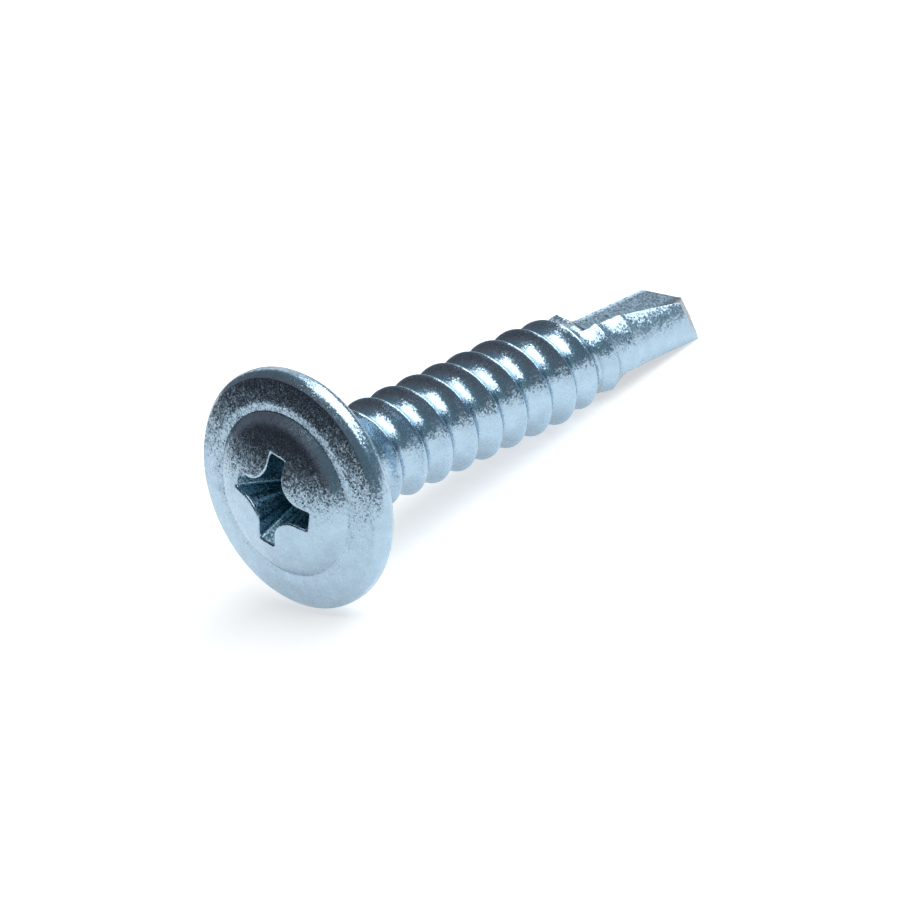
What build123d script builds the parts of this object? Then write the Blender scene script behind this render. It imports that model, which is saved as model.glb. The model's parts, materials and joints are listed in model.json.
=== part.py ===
"""Wafer head self drilling screw 4.8 x 25 with a No. 2 cross recess.

One piece of steel: the head is forged, the thread is rolled and the two flutes of the drill point
are pinched in.  It is drawn along its own axis, with Z running from the bearing face of the head
to the point, and is then laid down as it rests, on the rim of the head and the edges of one flute.
Turns are angles in degrees about that axis, counted from where the thread begins.
"""
from build123d import *
from math import asin, atan2, cos, degrees, radians, sin, tan
import os

# Head, in mm
head_diameter = 11.0
rim_height = 1.15            # edge of the flange
rim_round = 0.3
bearing_chamfer = 0.1        # between the rim and the bearing face
dome_diameter = 7.9          # foot of the dome on the flange
dome_height = 1.2            # dome above the flange
dome_side_height = 0.6       # steep side of the dome, below its crown
dome_side_angle = 45.0
dome_foot_chamfer = 0.22     # eases the dome into the flange
dome_shoulder_round = 0.9

# Cross recess
recess_span = 4.7            # over two opposite wings, at the top of the dome
recess_wing_width = 0.92
recess_depth = 2.1
recess_floor_span = 2.3
recess_floor_wing_width = 0.7
recess_lobe_round = 1.2      # of the broad lobes between the wings, at the mouth
recess_floor_lobe_round = 0.5
recess_point_angle = 118.0
recess_turn = 34.2

# Shank and thread
length = 24.8                # bearing face to the point, of a nominal 25
thread_diameter = 4.8
root_diameter = 3.6
pitch = 1.6
flank_angle = 33.0           # each flank from the plane across the axis
ridge_bed = 0.2              # how deep the ridge is rooted in the shank
thread_full_length = 15.0    # from here the ridge sinks into the shank
thread_sink_angle = 9.0
splice_lap = 0.8             # the sinking ridge starts this far inside the full one
splice_inset = 0.02

# Drill point
drill_diameter = 3.74        # over the cutting lips
drill_neck_length = 0.9      # shank swells to the drill over this length
point_angle = 110.0          # over the two lips
relief_turn = 48.0           # end faces fall away behind the lips
web = 0.6                    # steel left between the flutes
flute_length = 8.6           # from the point to where a flute runs out
flute_ramp_length = 2.8      # floor of a flute rises over this length
flute_turn = 102.0           # from one lip's rake face round to the other lip's heel
heel_relief_turn = 23.0      # heels are cut back this much more at the point
flute_round = 0.22
lip_turn = 36.4

head_radius = head_diameter / 2
dome_radius = dome_diameter / 2
thread_radius = thread_diameter / 2
root_radius = root_diameter / 2
drill_radius = drill_diameter / 2
head_top = -(rim_height + dome_height)
beyond = head_diameter       # how far a cutter reaches past the steel


def square_to_axis(z, turn=0.0):
    """Plane across the axis at height z, with its X at the given turn."""
    return Plane.XY.offset(z).rotated((0, 0, turn))


def through_axis(z=0.0, turn=0.0):
    """Plane that holds the axis, with X at the given turn and Y along the axis from height z."""
    heading = radians(turn)
    return Plane((0, 0, z), x_dir=(cos(heading), sin(heading), 0), z_dir=(sin(heading), -cos(heading), 0))


# Head: a turned profile of a flat flange and a raised dome
dome_side_run = dome_side_height / tan(radians(dome_side_angle))
rim_low = (head_radius, 0)
rim_high = (head_radius, -rim_height)
dome_foot = (dome_radius, -rim_height)
dome_shoulder = (dome_radius - dome_side_run, -rim_height - dome_side_height)
with BuildPart() as head:
    with BuildSketch(through_axis()) as head_profile:
        with BuildLine():
            Polyline((0, head_top), (0, 0), rim_low, rim_high, dome_foot, dome_shoulder)
            TangentArc((0, head_top), dome_shoulder, tangent=(1, 0))
        make_face()
        for corner, corner_round in ((rim_high, rim_round), (dome_shoulder, dome_shoulder_round)):
            fillet(head_profile.vertices().sort_by_distance(corner)[0], corner_round)
        for corner, corner_cut in ((rim_low, bearing_chamfer), (dome_foot, dome_foot_chamfer)):
            chamfer(head_profile.vertices().sort_by_distance(corner)[0], corner_cut)
    revolve(axis=Axis.Z)

# Recess: four wings that taper inwards, over a pointed floor
recess_floor = head_top + recess_depth
floor_point_depth = recess_floor_wing_width / tan(radians(recess_point_angle / 2))
with BuildPart() as recess:
    with BuildSketch(square_to_axis(head_top, recess_turn)) as mouth:
        Rectangle(recess_span, recess_wing_width)
        Rectangle(recess_wing_width, recess_span)
        fillet(mouth.vertices().sort_by_distance((0, 0))[:4], recess_lobe_round)
    with BuildSketch(square_to_axis(recess_floor, recess_turn)) as floor:
        Rectangle(recess_floor_span, recess_floor_wing_width)
        Rectangle(recess_floor_wing_width, recess_floor_span)
        fillet(floor.vertices().sort_by_distance((0, 0))[:4], recess_floor_lobe_round)
    loft(ruled=True)
    with BuildSketch(through_axis()):
        with BuildLine():
            Polyline(
                (0, recess_floor + floor_point_depth),
                (recess_floor_wing_width, recess_floor),
                (0, recess_floor),
                close=True,
            )
        make_face()
    revolve(axis=Axis.Z)

# Shank: turned core, which swells a little into the drill's body once the thread has sunk
sink_slope = tan(radians(thread_sink_angle))
ridge_height = thread_radius - root_radius
ridge_end = thread_full_length + (ridge_height + ridge_bed / 2) / sink_slope
point_drop = drill_radius / tan(radians(point_angle / 2))
with BuildPart() as shank:
    with BuildSketch(through_axis()):
        with BuildLine():
            Polyline(
                (0, -rim_height / 2),
                (root_radius, -rim_height / 2),
                (root_radius, ridge_end),
                (drill_radius, ridge_end + drill_neck_length),
                (drill_radius, length),
                (0, length),
                close=True,
            )
        make_face()
    revolve(axis=Axis.Z)

# Thread: a ridge wound round the core, which grows out of the head
ridge_start = -rim_height / 2
ridge_foot = (ridge_height + ridge_bed) * tan(radians(flank_angle))
ridge_section = (
    (root_radius - ridge_bed, -ridge_foot),
    (thread_radius, 0),
    (root_radius - ridge_bed, ridge_foot),
)
with BuildPart() as full_ridge:
    with BuildLine():
        Helix(pitch, thread_full_length - ridge_start, thread_radius, center=(0, 0, ridge_start))
    with BuildSketch(through_axis(ridge_start)):
        with BuildLine():
            Polyline(*ridge_section, close=True)
        make_face()
    sweep(is_frenet=True)

# The same ridge on a cone, where it sinks into the core above the drill
splice = thread_full_length - splice_lap
splice_turn = 360 * (splice - ridge_start) / pitch
with BuildPart() as sinking_ridge:
    with BuildLine():
        Helix(
            pitch,
            ridge_end - splice,
            thread_radius,
            center=(0, 0, splice),
            cone_angle=-thread_sink_angle,
        )
    with BuildSketch(through_axis(splice)) as sinking_profile:
        with BuildLine():
            Polyline(*ridge_section, close=True)
        make_face()
        offset(amount=-splice_inset)
    sweep(is_frenet=True)

# Drill point: two flutes, and two end faces that meet in the chisel edge
relief_slope = 1 / tan(radians(point_angle / 2)) / cos(radians(relief_turn))
full_depth = length - flute_length + flute_ramp_length
flute_stations = (
    (length - flute_length, thread_radius, flute_turn),
    (full_depth, web / 2, flute_turn),
    (length - point_drop, web / 2, flute_turn + heel_relief_turn),
    (length + point_drop, web / 2, flute_turn + heel_relief_turn),
)
with BuildPart() as flutes:
    for side in (lip_turn, lip_turn + 180):
        for z, depth, heel_turn in flute_stations:
            heel = radians(heel_turn)
            heel_point = (drill_radius * cos(heel), drill_radius * sin(heel))
            heel_lean = (heel_point[0] - web / 2) / (heel_point[1] - web / 2)
            with BuildSketch(square_to_axis(z, side)) as flute_section:
                with BuildLine():
                    Polyline(
                        (web / 2 + heel_lean * (depth - web / 2), depth),
                        (beyond, depth),
                        (beyond, beyond),
                        (web / 2 + heel_lean * (beyond - web / 2), beyond),
                        close=True,
                    )
                make_face()
                fillet(flute_section.vertices().sort_by_distance((0, 0))[0], flute_round)
        loft(ruled=True)
    with BuildSketch(through_axis(length, lip_turn - relief_turn)):
        with BuildLine():
            Polyline(
                (0, 0),
                (beyond, -beyond * relief_slope),
                (beyond, beyond),
                (-beyond, beyond),
                (-beyond, -beyond * relief_slope),
                close=True,
            )
        make_face()
    extrude(amount=beyond, both=True)

with BuildPart() as screw:
    add(shank.part)
    add(full_ridge.part)
    add(sinking_ridge.part, rotation=(0, 0, splice_turn))
    add(flutes.part, mode=Mode.SUBTRACT)
    add(head.part)
    add(recess.part, mode=Mode.SUBTRACT)

# Lay it down with a flute facing the floor: the rim and the two edges of that flute carry it
lip_corner_turn = degrees(asin(web / 2 / drill_radius))
lip_corner_drop = drill_radius * cos(radians(lip_corner_turn + relief_turn)) * relief_slope
flute_half_turn = (flute_turn + heel_relief_turn - lip_corner_turn) / 2
floor_turn = lip_turn + 180 + lip_corner_turn + flute_half_turn
tail_drop = drill_radius * cos(radians(flute_half_turn))
lean = atan2(head_radius - tail_drop, length - lip_corner_drop + bearing_chamfer)
facing = radians(floor_turn)
lying_axis = Vector(cos(lean), 0, -sin(lean))
lying_x = Vector(-sin(lean) * cos(facing), -sin(facing), -cos(lean) * cos(facing))
lying = screw.part.moved(Plane((0, 0, 0), x_dir=lying_x, z_dir=lying_axis).location)
box = lying.bounding_box()
lying = lying.moved(Location((-box.center().X, -box.center().Y, -box.min.Z)))
lying.label = "screw"

os.makedirs("parts", exist_ok=True)
export_step(lying, "parts/screw.step")
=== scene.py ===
import bpy
import json
import numpy as np
from mathutils import Matrix


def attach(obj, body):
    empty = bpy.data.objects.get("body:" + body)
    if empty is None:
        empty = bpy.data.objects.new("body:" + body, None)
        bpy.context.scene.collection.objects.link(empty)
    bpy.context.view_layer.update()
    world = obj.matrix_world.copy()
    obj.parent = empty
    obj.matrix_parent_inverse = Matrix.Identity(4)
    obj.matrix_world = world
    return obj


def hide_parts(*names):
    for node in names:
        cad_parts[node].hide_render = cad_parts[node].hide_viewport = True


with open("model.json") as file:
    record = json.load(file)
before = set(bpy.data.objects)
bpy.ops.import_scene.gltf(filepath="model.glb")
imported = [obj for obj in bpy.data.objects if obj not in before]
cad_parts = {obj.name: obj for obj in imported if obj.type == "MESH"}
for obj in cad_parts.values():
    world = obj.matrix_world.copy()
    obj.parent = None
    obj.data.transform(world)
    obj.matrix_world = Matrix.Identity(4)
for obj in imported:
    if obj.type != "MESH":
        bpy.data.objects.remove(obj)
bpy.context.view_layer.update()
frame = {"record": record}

# ------------------------------------------------------------------ the screw
# A wafer head drilling screw, 4.8 x 25: one piece of steel with a forged head, a rolled thread and
# two flutes pinched into its point, plated with zinc.  Its skin is one closed surface made of rows
# of points in mm round the screw's own axis, with the bearing face at height 0, and is then laid down.
mm = 0.001
length = 24.795              # bearing face to the point
head_radius = 5.5
head_top = -2.35
thread_radius = 2.4
root_radius = 1.8
pitch = 1.6
drill_radius = 1.87
recess_turn = 34.2           # turns are in degrees about the axis

columns_round = 240          # each row has this many points, and repeats the first as its last
column = np.arange(columns_round + 1)
even_turn = recess_turn + 360 * column / columns_round


def on_axis(radius, turn, height):
    """Points at a radius, a turn about the axis and a height along it."""
    radius, turn, height = np.broadcast_arrays(radius, np.radians(turn), height)
    return np.stack([radius * np.cos(turn), radius * np.sin(turn), height], axis=-1)


# Head: the recess from its pointed floor up, its lip, the crown, and the turned outline down to
# the bearing face
recess_depth = 2.1
mouth_span, floor_span = 4.72, 2.3           # over two opposite wings
mouth_wing, floor_wing = 0.92, 0.7           # width of a wing
mouth_lobe, floor_lobe = 1.2, 0.5            # rounding of the lobes between the wings
wing_corner = 0.12
recess_lip = 0.09                            # rounding of the mouth's edge
recess_floor = head_top + recess_depth
floor_cone_depth, floor_cone_radius = 0.42, 0.7
shoulder = (3.35, -1.75)                     # radius and height, as all corners of the outline
crown_edge = 3.05
crown_rise = shoulder[1] - head_top
crown_bow = (shoulder[0] ** 2 + crown_rise**2) / 2 / crown_rise
bearing_edge = 4.9
quarter = columns_round // 4
end_to, corner_to, side_to, lobe_to = 2, 6, 14, 30      # columns from the middle of a wing's end


def crown_height(radius):
    """The crown is part of a ball, so its height falls off as R - sqrt(R squared - r squared)."""
    return head_top + crown_bow - np.sqrt(crown_bow**2 - radius**2)


def cross_outline(up, wider=0.0):
    """Radius and turn of the recess cut across, at the share `up` of its depth above the floor.

    An eighth of it runs from the middle of a wing's end round the wing's corner, along its side
    and over a quarter of a lobe to the diagonal.  The rest mirrors and turns that eighth.
    """
    tip = (floor_span + (mouth_span - floor_span) * up) / 2 + wider
    half = (floor_wing + (mouth_wing - floor_wing) * up) / 2 + wider
    lobe = floor_lobe + (mouth_lobe - floor_lobe) * up - wider
    within = column % quarter
    mirrored = within > lobe_to
    within = np.where(mirrored, quarter - within, within)
    corner = np.radians(90) * np.clip((within - end_to) / (corner_to - end_to), 0, 1)
    beside = np.clip((within - corner_to) / (side_to - corner_to), 0, 1)
    over = np.radians(45) * np.clip((within - side_to) / (lobe_to - side_to), 0, 1)
    end_x = tip - wing_corner + wing_corner * np.cos(corner)
    end_y = (half - wing_corner) * np.clip(within / end_to, 0, 1) + wing_corner * np.sin(corner)
    side_x = (tip - wing_corner) * (1 - beside) + (half + lobe) * beside
    lobe_x = half + lobe - lobe * np.sin(over)
    lobe_y = half + lobe - lobe * np.cos(over)
    x = np.where(within <= corner_to, end_x, np.where(within <= side_to, side_x, lobe_x))
    y = np.where(within <= corner_to, end_y, np.where(within <= side_to, half, lobe_y))
    x, y = np.where(mirrored, y, x), np.where(mirrored, x, y)
    turn = np.degrees(np.arctan2(y, x)) + 90 * (column // quarter) + recess_turn
    return np.hypot(x, y), turn


def recess_wall(up):
    """Points of the tapered wall: the outline at the share `up`, at that share of the depth."""
    radius, turn = cross_outline(up)
    return on_axis(radius, turn, recess_floor - recess_depth * up)


def rounded_path(corners, rounds, steps):
    """A line through the corners whose inner corners are arcs of so many steps a radian.

    An arc of round R starts R tan(half the bend) before its corner, and at the angle a along it
    lies R sin(a) ahead of that start and R (1 - cos(a)) to its side.
    """
    corners = np.array(corners, float)
    path = [corners[:1]]
    for before, here, after, size in zip(corners, corners[1:], corners[2:], rounds):
        ahead = (here - before) / np.linalg.norm(here - before)
        onward = (after - here) / np.linalg.norm(after - here)
        bend = np.arccos(np.clip(ahead @ onward, -1, 1))
        side = onward - (onward @ ahead) * ahead
        side /= np.linalg.norm(side)
        along = np.linspace(0, bend, max(3, int(np.ceil(bend * steps))))[:, None]
        start = here - ahead * size * np.tan(bend / 2)
        path.append(start + size * (np.sin(along) * ahead + (1 - np.cos(along)) * side))
    path.append(corners[-1:])
    return np.concatenate(path)


# The mouth is where the wall meets the crown: each round moves it to the crown's height there.
# Below, the counts in linspace are how many rows of points a form gets.
mouth = np.full(columns_round + 1, 0.95)
for _ in range(30):
    mouth = (recess_floor - crown_height(cross_outline(mouth)[0])) / recess_depth

floor_radius, floor_outline_turn = cross_outline(0.0)
floor_reach = floor_radius * np.linspace(0, 1, 9)[:-1, None]
floor_cone = floor_cone_depth * np.clip(1 - floor_reach / floor_cone_radius, 0, 1)
floor_rows = on_axis(floor_reach, floor_outline_turn, recess_floor + floor_cone)
wall_rows = np.stack([recess_wall(mouth * share) for share in np.linspace(0, 0.95, 15)])

# The lip is a bow from a little below the mouth's edge to a little beyond it, pulled to the edge
below_lip = recess_wall(mouth - recess_lip / recess_depth)
at_lip = recess_wall(mouth)
beyond_radius, beyond_turn = cross_outline(mouth, recess_lip)
beyond_lip = on_axis(beyond_radius, beyond_turn, crown_height(beyond_radius))
along = np.linspace(0, 1, 5)[:, None, None]
lip_rows = (1 - along) ** 2 * below_lip + 2 * along * (1 - along) * at_lip + along**2 * beyond_lip

along = np.linspace(0, 1, 13)[1:, None, None]
crown_rows = (1 - along) * beyond_lip + along * on_axis(crown_edge, even_turn, 0.0)
crown_rows[..., 2] = crown_height(np.hypot(crown_rows[..., 0], crown_rows[..., 1]))
outline = rounded_path(
    (
        (crown_edge, crown_height(crown_edge)),
        shoulder,
        (3.78, -1.29),           # foot of the dome, in a shallow groove
        (4.2, -1.3),             # from here the flange falls outwards
        (5.2, -1.07),
        (5.498, -0.74),          # the rim
        (5.498, -0.3),
        (5.3, 0.0),              # bevel behind the rim
        (bearing_edge, 0.0),
    ),
    (1.1, 0.1, 1.0, 0.15, 0.35, 0.4, 0.08),
    steps=7,
)[1:]
turned_rows = on_axis(outline[:, :1], even_turn, outline[:, 1:])

# Thread and drill point: one radius for each height and turn
crest_start = -0.575                                     # height of the crest at turn 0
crest_heights = (15.1, 16.6, 18.2, 19.8, 20.5)           # the thread sinks over these heights
crest_radii = (thread_radius, 2.2, 2.06, 1.94, drill_radius)
crest_round = 0.08
ridge_foot = 0.69                                        # from the crest to where the ridge ends
swell_heights = (16.5, 19.0)                             # the core swells into the drill's body
half_web = 0.3
flute_round, edge_round = 0.18, 0.03
run_out_heights = (16.2, 19.0)                           # the floor of a flute rises over these
lip_turn = 36.4
lip_corner = np.degrees(np.arcsin(half_web / drill_radius))     # from lip_turn to the lip's edge
flute_turn, heel_turn = 102.5, 125.0                     # from a lip to its flute's heel
heel_cut_heights = (19.0, 23.0)
point_half_angle = 55
relief_turn = 48.0
relief_slope = 1 / np.tan(np.radians(point_half_angle)) / np.cos(np.radians(relief_turn))
lip_column, root_column, heel_column = 8, 26, 66         # the last two are counted from the lip
half_round = columns_round // 2
flute_root_turn = 42.0
drawn_from, drawn_to = 13.5, 16.0                        # columns leave their even turns here


def soft_max(a, b, width):
    """The larger of a and b, rounded over a band of that width where they meet.

    The share of a grows evenly across the band, and width times share times (1 - share) is added.
    """
    share = np.clip(0.5 + 0.5 * (a - b) / width, 0, 1)
    return b + (a - b) * share + width * share * (1 - share)


def heel_angle(height):
    """Angle from a lip round to its flute's heel, which grows evenly towards the point."""
    return np.interp(height, heel_cut_heights, (flute_turn, heel_turn))


def skin_radius(height, turn):
    """Radius of the shank at a height and a turn.

    The core is a cylinder that swells a little into the drill's body.  The thread adds its height
    times the square of how near the crest line is, from 0 at the ridge's foot to 1 at the crest.
    A flute limits the radius to the larger of the distances at which a ray from the axis meets
    the lip's plane and the heel's plane.
    """
    core = np.interp(height, swell_heights, (root_radius, drill_radius))
    crest = np.interp(height, crest_heights, crest_radii)
    away = (height - crest_start - pitch * turn / 360 + pitch / 2) % pitch - pitch / 2
    away = np.sqrt(away**2 + crest_round**2) - crest_round
    ridge = np.clip(1 - away / ridge_foot, 0, 1) ** 2
    outer = core + np.maximum(crest - core, 0) * ridge
    angle = np.radians((turn - lip_turn) % 180)
    flute_floor = np.interp(height, run_out_heights, (thread_radius, half_web))
    lip_plane = flute_floor / np.maximum(np.sin(angle), 1e-3)
    heel = np.radians(heel_angle(height))
    heel_lean = (drill_radius * np.cos(heel) - half_web) / (drill_radius * np.sin(heel) - half_web)
    facing_heel = np.cos(angle) - heel_lean * np.sin(angle)
    heel_plane = half_web * (1 - heel_lean) / np.maximum(facing_heel, 1e-3)
    flute = soft_max(lip_plane, heel_plane, flute_round)
    return -soft_max(-outer, -flute, edge_round)


def column_turn(height):
    """Turn of each column: even on the thread, and drawn to the lips and heels on the drill.

    Each half of the drill goes from a lip over the flute's root to the heel, and over the land to
    the other lip, evenly between them.  The two kinds mix by share squared times (3 - 2 shares).
    """
    height = np.broadcast_to(height, np.broadcast_shapes(np.shape(height), column.shape))
    heel = heel_angle(height)
    heel_columns = heel_column - root_column
    place = (column - lip_column) % half_round
    half_turns = (column - lip_column) // half_round * 180
    drawn = np.where(
        place <= root_column,
        lip_corner + (flute_root_turn - lip_corner) * place / root_column,
        np.where(
            place <= heel_column,
            flute_root_turn + (heel - flute_root_turn) * (place - root_column) / heel_columns,
            heel + (180.0 + lip_corner - heel) * (place - heel_column) / (half_round - heel_column),
        ),
    )
    share = np.clip((height - drawn_from) / (drawn_to - drawn_from), 0, 1)
    share = share**2 * (3 - 2 * share)
    return even_turn * (1 - share) + (lip_turn + half_turns + drawn) * share


# The thread's rows wind up with its crest, closest at the crest, so that the last point of a row
# is the first of the row one pitch on
drill_start = 21.0
row_steps = np.array(
    [0, 0.03, 0.07, 0.13, 0.22, 0.33, 0.46, 0.62, 0.8, 0.98, 1.14, 1.27, 1.38, 1.47, 1.53, 1.57]
)
first_crest = crest_start + pitch * recess_turn / 360
row_start = (first_crest + pitch * np.arange(-1, 14)[:, None] + row_steps).reshape(-1, 1)
thread_height = row_start + pitch * column / columns_round
thread_turn = column_turn(np.clip(thread_height, 0, drill_start))
thread_height = np.clip(thread_height + pitch * (thread_turn - even_turn) / 360, 0, drill_start)
thread_rows = on_axis(skin_radius(thread_height, thread_turn), thread_turn, thread_height)
one_pitch_on = np.minimum(np.arange(len(thread_rows)) + len(row_steps), len(thread_rows) - 1)
thread_rows[:, -1] = thread_rows[one_pitch_on, 0]

share = np.linspace(0, 1, 8)[1:-1, None]
neck = skin_radius(0.0, even_turn)
bearing_rows = on_axis(bearing_edge * (1 - share) + neck * share, even_turn, 0.0)

# The drill ends where its side meets the two end faces: each round goes half the way there
point_height = np.full(columns_round + 1, 24.0)
for _ in range(60):
    point_turn = column_turn(point_height)
    point_reach = skin_radius(point_height, point_turn)
    fall = relief_slope * np.abs(np.cos(np.radians(point_turn - lip_turn + relief_turn)))
    point_height = (point_height + length - fall * point_reach) / 2
share = np.linspace(0, 1, 42)[1:, None]
drill_height = drill_start + (point_height - drill_start) * share
drill_turn = column_turn(drill_height)
drill_rows = on_axis(skin_radius(drill_height, drill_turn), drill_turn, drill_height)
share = np.linspace(1, 0, 13)[1:, None]
point_rows = on_axis(point_reach * share, point_turn, length - fall * point_reach * share)

# All rows, one after another, are sewn into a closed skin: equal points are one point, and the
# quads between rows become triangles, of which those that have no width fall away
head_parts = [floor_rows, wall_rows, lip_rows, crown_rows, turned_rows, bearing_rows]
rows = np.concatenate(head_parts + [thread_rows, drill_rows, point_rows])
thread_from = sum(len(part) for part in head_parts)
drill_from = thread_from + len(thread_rows)
rows[:thread_from, -1] = rows[:thread_from, 0]
rows[drill_from:, -1] = rows[drill_from:, 0]
points, first, number = np.unique(
    np.round(rows.reshape(-1, 3), 7) + 0.0, axis=0, return_index=True, return_inverse=True
)
number = number.reshape(rows.shape[:2])
quads = np.stack([number[:-1, :-1], number[:-1, 1:], number[1:, 1:], number[1:, :-1]], axis=-1)
quads = quads.reshape(-1, 4)
triangles = np.concatenate([quads[:, [0, 1, 2]], quads[:, [0, 2, 3]]])
has_width = np.all(triangles != np.roll(triangles, -1, axis=1), axis=1)
triangles = triangles[has_width]

# Marks for the finish: how deep in the recess and how deep in a flute, where shade is painted into the
# colour, and how far into the pinched drill
pinched_from, pinched_to = 17.0, 19.5
flute_mark_from, flute_mark_full = 0.03, 0.08
inside_recess = len(floor_rows) + len(wall_rows) + 3     # up to the middle of the lip
marks = {name: np.zeros(rows.shape[:2]) for name in ("recess_depth", "pinched", "flute")}
marks["recess_depth"][:inside_recess] = (rows[:inside_recess, :, 2] - head_top) / recess_depth
shank = rows[thread_from:]
marks["pinched"][thread_from:] = (shank[..., 2] - pinched_from) / (pinched_to - pinched_from)
below_land = drill_radius - flute_mark_from - np.hypot(shank[..., 0], shank[..., 1])
marks["flute"][thread_from:] = below_land / flute_mark_full * (shank[..., 2] > pinched_from)

# It lies on the rim of its head and on the two edges of one flute, as the frame has it
bearing_chamfer = 0.1
lip_corner_drop = drill_radius * np.cos(np.radians(lip_corner + relief_turn)) * relief_slope
flute_half = (heel_turn - lip_corner) / 2
floor_turn = lip_turn + 180 + lip_corner + flute_half
edge_drop = drill_radius * np.cos(np.radians(flute_half))
lean = np.arctan2(head_radius - edge_drop, length - lip_corner_drop + bearing_chamfer)
axis = np.array([np.cos(lean), 0, -np.sin(lean)])


def sideways(turn):
    """Unit vector square to the axis at a turn, where floor_turn points at the floor."""
    angle = np.radians(turn - floor_turn)
    down = np.array([-np.sin(lean), 0, -np.cos(lean)])
    across = np.array([0, 1.0, 0])
    return np.cos(angle) * down + np.sin(angle) * across


mounts = {mount["name"]: mount for mount in frame["record"]["mounts"]}
thread_mount_height = 8                                  # the frame gives this place on the axis
bearing_centre = np.array(mounts["thread"]["pos_m"]) - thread_mount_height * mm * axis
placed = bearing_centre + mm * (points @ np.stack([sideways(0), sideways(90), axis]))

skin = bpy.data.meshes.new("screw_skin")
skin.from_pydata(placed.tolist(), [], triangles.tolist())
skin.shade_smooth()
skin.set_sharp_from_angle(angle=np.radians(38))
for name, values in marks.items():
    attribute = skin.attributes.new(name, "FLOAT", "POINT")
    attribute.data.foreach_set("value", np.clip(values.reshape(-1)[first], 0, 1).astype(np.float32))
screw = bpy.data.objects.new("screw_skin", skin)
bpy.context.scene.collection.objects.link(screw)


def wired(tree, kind, inputs, **settings):
    """A new shader node with these settings, whose inputs are values or other nodes' outputs."""
    node = tree.nodes.new("ShaderNode" + kind)
    for name, value in settings.items():
        setattr(node, name, value)
    for name, value in inputs.items():
        if isinstance(value, bpy.types.NodeSocket):
            tree.links.new(value, node.inputs[name])
        else:
            node.inputs[name].default_value = value
    return node


def zinc_coat():
    """Node group: the coat's grains as tilted facets, and its orange peel as a height.

    Each grain is a cell whose normal leans by its own random vector, less a half, times the tilt.
    """
    group = bpy.data.node_groups.new("zinc_coat", "ShaderNodeTree")
    for name in ("Grain Size", "Grain Tilt", "Peel Size"):
        group.interface.new_socket(name, in_out="INPUT", socket_type="NodeSocketFloat")
    group.interface.new_socket("Normal", in_out="OUTPUT", socket_type="NodeSocketVector")
    for name in ("Grain", "Peel"):
        group.interface.new_socket(name, in_out="OUTPUT", socket_type="NodeSocketFloat")
    given = group.nodes.new("NodeGroupInput").outputs
    place = wired(group, "TexCoord", {}).outputs["Object"]
    grain_scale = wired(group, "Math", {0: 1.0, 1: given["Grain Size"]}, operation="DIVIDE")
    peel_scale = wired(group, "Math", {0: 1.0, 1: given["Peel Size"]}, operation="DIVIDE")
    grains = wired(group, "TexVoronoi", {"Vector": place, "Scale": grain_scale.outputs[0]})
    peel = wired(group, "TexNoise", {"Vector": place, "Scale": peel_scale.outputs[0], "Detail": 3.0})
    colour = grains.outputs["Color"]
    centred = wired(group, "VectorMath", {0: colour, 1: (0.5, 0.5, 0.5)}, operation="SUBTRACT")
    grain_lean = wired(
        group,
        "VectorMath",
        {0: centred.outputs[0], "Scale": given["Grain Tilt"]},
        operation="SCALE",
    )
    smooth = wired(group, "NewGeometry", {}).outputs["Normal"]
    tilted = wired(group, "VectorMath", {0: smooth, 1: grain_lean.outputs[0]}, operation="ADD")
    unit = wired(group, "VectorMath", {0: tilted.outputs[0]}, operation="NORMALIZE")
    random_share = wired(group, "SeparateXYZ", {0: colour})
    put_out = group.nodes.new("NodeGroupOutput").inputs
    group.links.new(unit.outputs[0], put_out["Normal"])
    group.links.new(random_share.outputs["X"], put_out["Grain"])
    group.links.new(peel.outputs["Fac"], put_out["Peel"])
    return group


# Blue-white zinc, bright on the forged and rolled faces, with fine grains and a soft orange peel.
# Deep in the recess the colour is darker and greener, a painted shade; the pinched drill is rougher,
# and deep in its flutes the colour is a darker grey, a painted shade.
blue_white = (0.41, 0.545, 0.66, 1)
# painted shade: a darker, greener colour deep in the recess
recess_painted_shade = (0.19, 0.37, 0.43, 1)
# painted shade: a darker grey deep in the drill's flutes
flute_painted_shade = (0.12, 0.17, 0.215, 1)
forged_tilt, drill_tilt = 0.18, 0.3              # how far the grains lean
dull_grain, bright_grain = 0.3, 0.2              # their roughness
drill_rougher = 0.07
zinc = bpy.data.materials.new("zinc_plated_steel")
zinc.use_nodes = True
finish = zinc.node_tree
shader = finish.nodes["Principled BSDF"]
shader.inputs["Metallic"].default_value = 1.0
in_recess, on_drill, in_flute = (
    wired(finish, "Attribute", {}, attribute_name=name).outputs["Fac"]
    for name in ("recess_depth", "pinched", "flute")
)
grain_tilt = wired(
    finish, "MapRange", {"Value": on_drill, "To Min": forged_tilt, "To Max": drill_tilt}
)
coat = wired(
    finish,
    "Group",
    {"Grain Size": 0.068 * mm, "Grain Tilt": grain_tilt.outputs["Result"], "Peel Size": 0.6 * mm},
    node_tree=zinc_coat(),
)
bump = wired(
    finish,
    "Bump",
    {
        "Strength": 1.0,
        "Distance": 0.018 * mm,
        "Height": coat.outputs["Peel"],
        "Normal": coat.outputs["Normal"],
    },
)
# paints shade deep in the recess, more the deeper a point lies
shaded_recess_colour = wired(
    finish, "Mix", {"Factor": in_recess, "A": blue_white, "B": recess_painted_shade}, data_type="RGBA"
)
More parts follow.
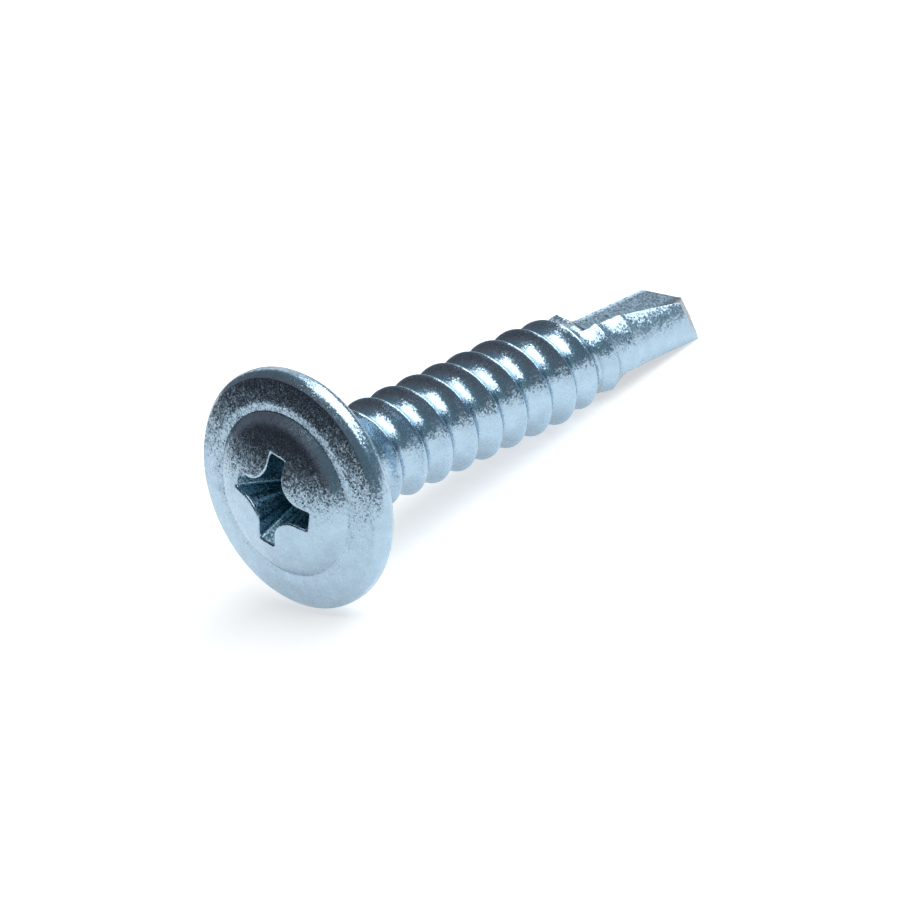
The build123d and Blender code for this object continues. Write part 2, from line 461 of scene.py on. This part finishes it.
# paints shade deep in the drill's flutes
shaded_flute_colour = wired(
    finish,
    "Mix",
    {"Factor": in_flute, "A": shaded_recess_colour.outputs["Result"], "B": flute_painted_shade},
    data_type="RGBA",
)
tint = wired(
    finish,
    "MapRange",
    {
        "Value": coat.outputs["Peel"],
        "From Min": 0.3,
        "From Max": 0.7,
        "To Min": 0.92,
        "To Max": 1.04,
    },
)
cloudy = wired(
    finish,
    "Mix",
    {"Factor": 1.0, "A": shaded_flute_colour.outputs["Result"], "B": tint.outputs["Result"]},
    data_type="RGBA",
    blend_type="MULTIPLY",
)
sheen = wired(
    finish,
    "MapRange",
    {"Value": coat.outputs["Grain"], "To Min": dull_grain, "To Max": bright_grain},
)
rougher = wired(
    finish,
    "Math",
    {0: on_drill, 1: drill_rougher, 2: sheen.outputs["Result"]},
    operation="MULTIPLY_ADD",
)
finish.links.new(cloudy.outputs["Result"], shader.inputs["Base Color"])
finish.links.new(rougher.outputs[0], shader.inputs["Roughness"])
finish.links.new(bump.outputs["Normal"], shader.inputs["Normal"])
skin.materials.append(zinc)

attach(screw, "root")
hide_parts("screw")

# ------------------------------------------------------------------ the floor
# A wide sheet of white paper under the screw.  It looks white to the camera.  In metal it shows a
# painted pool of light round the head, where the paper glows in reflections only, and painted shade
# beyond it, as dim paper.
half_sheet = 3.0
pool_centre = (-0.021, 0.012, 0)
pool_edge = (0.034, 0.08)                # distances over which the pool dims
# the paper's tone, and a painted shade of it that reflections show beyond the pool
lit_paper, paper_painted_shade = (0.65, 0.65, 0.65, 1), (0.22, 0.25, 0.27, 1)
paper_glow = 0.58
floor_mesh = bpy.data.meshes.new("floor")
floor_mesh.from_pydata(
    [
        (-half_sheet, -half_sheet, 0),
        (half_sheet, -half_sheet, 0),
        (half_sheet, half_sheet, 0),
        (-half_sheet, half_sheet, 0),
    ],
    [],
    [(0, 1, 2, 3)],
)
floor = bpy.data.objects.new("floor", floor_mesh)
bpy.context.scene.collection.objects.link(floor)
paper = bpy.data.materials.new("white_paper")
paper.use_nodes = True
finish = paper.node_tree
shader = finish.nodes["Principled BSDF"]
shader.inputs["Roughness"].default_value = 0.9
shader.inputs["Specular IOR Level"].default_value = 0.0
shader.inputs["Emission Color"].default_value = (1, 1, 1, 1)
ray = wired(finish, "LightPath", {}).outputs
place = wired(finish, "TexCoord", {}).outputs["Object"]
distance = wired(finish, "VectorMath", {0: place, 1: pool_centre}, operation="DISTANCE")
pool = wired(
    finish,
    "MapRange",
    {
        "Value": distance.outputs["Value"],
        "From Min": pool_edge[0],
        "From Max": pool_edge[1],
        "To Min": 1.0,
        "To Max": 0.0,
    },
    interpolation_type="SMOOTHSTEP",
)
mirrored = wired(
    finish,
    "Math",
    {0: ray["Is Glossy Ray"], 1: ray["Is Transmission Ray"]},
    operation="MAXIMUM",
).outputs[0]
# painted light: reflections see the paper glow only within the pool round the head
in_pool = wired(
    finish, "Math", {0: mirrored, 1: pool.outputs["Result"]}, operation="MULTIPLY"
).outputs[0]
beyond_pool = wired(finish, "Math", {0: mirrored, 1: in_pool}, operation="SUBTRACT").outputs[0]
tone = wired(
    finish,
    "Mix",
    {"Factor": beyond_pool, "A": lit_paper, "B": paper_painted_shade},
    data_type="RGBA",
)
seen_white = wired(finish, "Math", {0: ray["Is Camera Ray"], 1: in_pool}, operation="MAXIMUM")
glow = wired(finish, "Math", {0: seen_white.outputs[0], 1: paper_glow}, operation="MULTIPLY")
finish.links.new(tone.outputs["Result"], shader.inputs["Base Color"])
finish.links.new(glow.outputs[0], shader.inputs["Emission Strength"])
floor_mesh.materials.append(paper)

# ------------------------------------------------------------------ the room
# A dim room round the floor, darkest beyond the head, with one white wall beyond the point.  The
# metal mirrors the room, and the camera itself sees white.
towards_dark = (-0.86, 0.5, 0.1)
towards_wall = (0.636, 0.758, 0.139)
wall_edge = (0.90, 0.97)
room_tones = (                           # by how far round towards the dark, from 0 to 1
    (0.1, (0.13, 0.22, 0.26, 1)),
    (0.66, (0.13, 0.19, 0.22, 1)),
    (0.77, (0.17, 0.16, 0.175, 1)),
    (0.93, (0.036, 0.034, 0.041, 1)),
)
world = bpy.data.worlds.new("studio")
bpy.context.scene.world = world
world.use_nodes = True
studio = world.node_tree
heading = wired(studio, "TexCoord", {}).outputs["Generated"]
darkwards = wired(studio, "VectorMath", {0: heading, 1: towards_dark}, operation="DOT_PRODUCT")
side = wired(studio, "MapRange", {"Value": darkwards.outputs["Value"], "From Min": -1.0})
room = wired(studio, "ValToRGB", {"Fac": side.outputs["Result"]})
ramp = room.color_ramp.elements
for position, tone in room_tones:
    ramp.new(position).color = tone
ramp.remove(ramp[-1])
ramp.remove(ramp[0])
wallwards = wired(studio, "VectorMath", {0: heading, 1: towards_wall}, operation="DOT_PRODUCT")
wall = wired(
    studio,
    "MapRange",
    {"Value": wallwards.outputs["Value"], "From Min": wall_edge[0], "From Max": wall_edge[1]},
    interpolation_type="SMOOTHSTEP",
)
with_wall = wired(
    studio,
    "Mix",
    {"Factor": wall.outputs["Result"], "A": room.outputs["Color"], "B": (1, 1, 1, 1)},
    data_type="RGBA",
)
to_camera = wired(studio, "LightPath", {}).outputs["Is Camera Ray"]
surround = wired(
    studio,
    "Mix",
    {"Factor": to_camera, "A": with_wall.outputs["Result"], "B": (1, 1, 1, 1)},
    data_type="RGBA",
)
studio.links.new(surround.outputs["Result"], studio.nodes["Background"].inputs["Color"])

# ------------------------------------------------------------------ the lamps
# One wide soft box hangs level above the drill point's side of the screw, with a narrow, dim one
# along its far edge.
for name, sides, watts, place in (
    ("soft_box", (1.2, 0.75), 7.8, (0.5, -0.25, 0.5)),
    ("side_box", (0.9, 0.2), 0.9, (0.75, 0.267, 0.5)),
):
    light = bpy.data.lights.new(name, "AREA")
    light.shape = "RECTANGLE"
    light.size, light.size_y = sides
    light.energy = watts
    lamp = bpy.data.objects.new(name, light)
    lamp.location = place
    lamp.rotation_euler = (0, 0, 0.17)
    bpy.context.scene.collection.objects.link(lamp)

# ------------------------------------------------------------------ the camera
# It looks down on the head's side of the screw from 0.3 m away.  Its directions are given about
# the screw's axis: a swing towards the head and a roll about the line of sight.
camera_turn = 169.2
swing, roll = np.radians(49.353), np.radians(25.25)
to_the_right, upwards, back_off = 0.006257, 0.001476, 0.3019      # from the bearing face's centre
beside_axis, above_axis = sideways(camera_turn), sideways(camera_turn + 90)
right = (
    np.sin(swing) * np.cos(roll) * axis
    + np.cos(swing) * np.cos(roll) * beside_axis
    + np.sin(roll) * above_axis
)
up = (
    np.sin(swing) * np.sin(roll) * axis
    + np.cos(swing) * np.sin(roll) * beside_axis
    - np.cos(roll) * above_axis
)
back = -np.cos(swing) * axis + np.sin(swing) * beside_axis
camera_place = bearing_centre + to_the_right * right + upwards * up + back_off * back
camera_data = bpy.data.cameras.new("camera")
camera_data.lens = 278.5
camera_data.sensor_width = 36.0
camera_data.clip_start = 0.01
camera_data.clip_end = 20.0
camera = bpy.data.objects.new("camera", camera_data)
camera.matrix_world = Matrix(
    [[right[k], up[k], back[k], camera_place[k]] for k in range(3)] + [[0, 0, 0, 1]]
)
bpy.context.scene.collection.objects.link(camera)
bpy.context.scene.camera = camera
bpy.context.scene.view_settings.view_transform = "Standard"
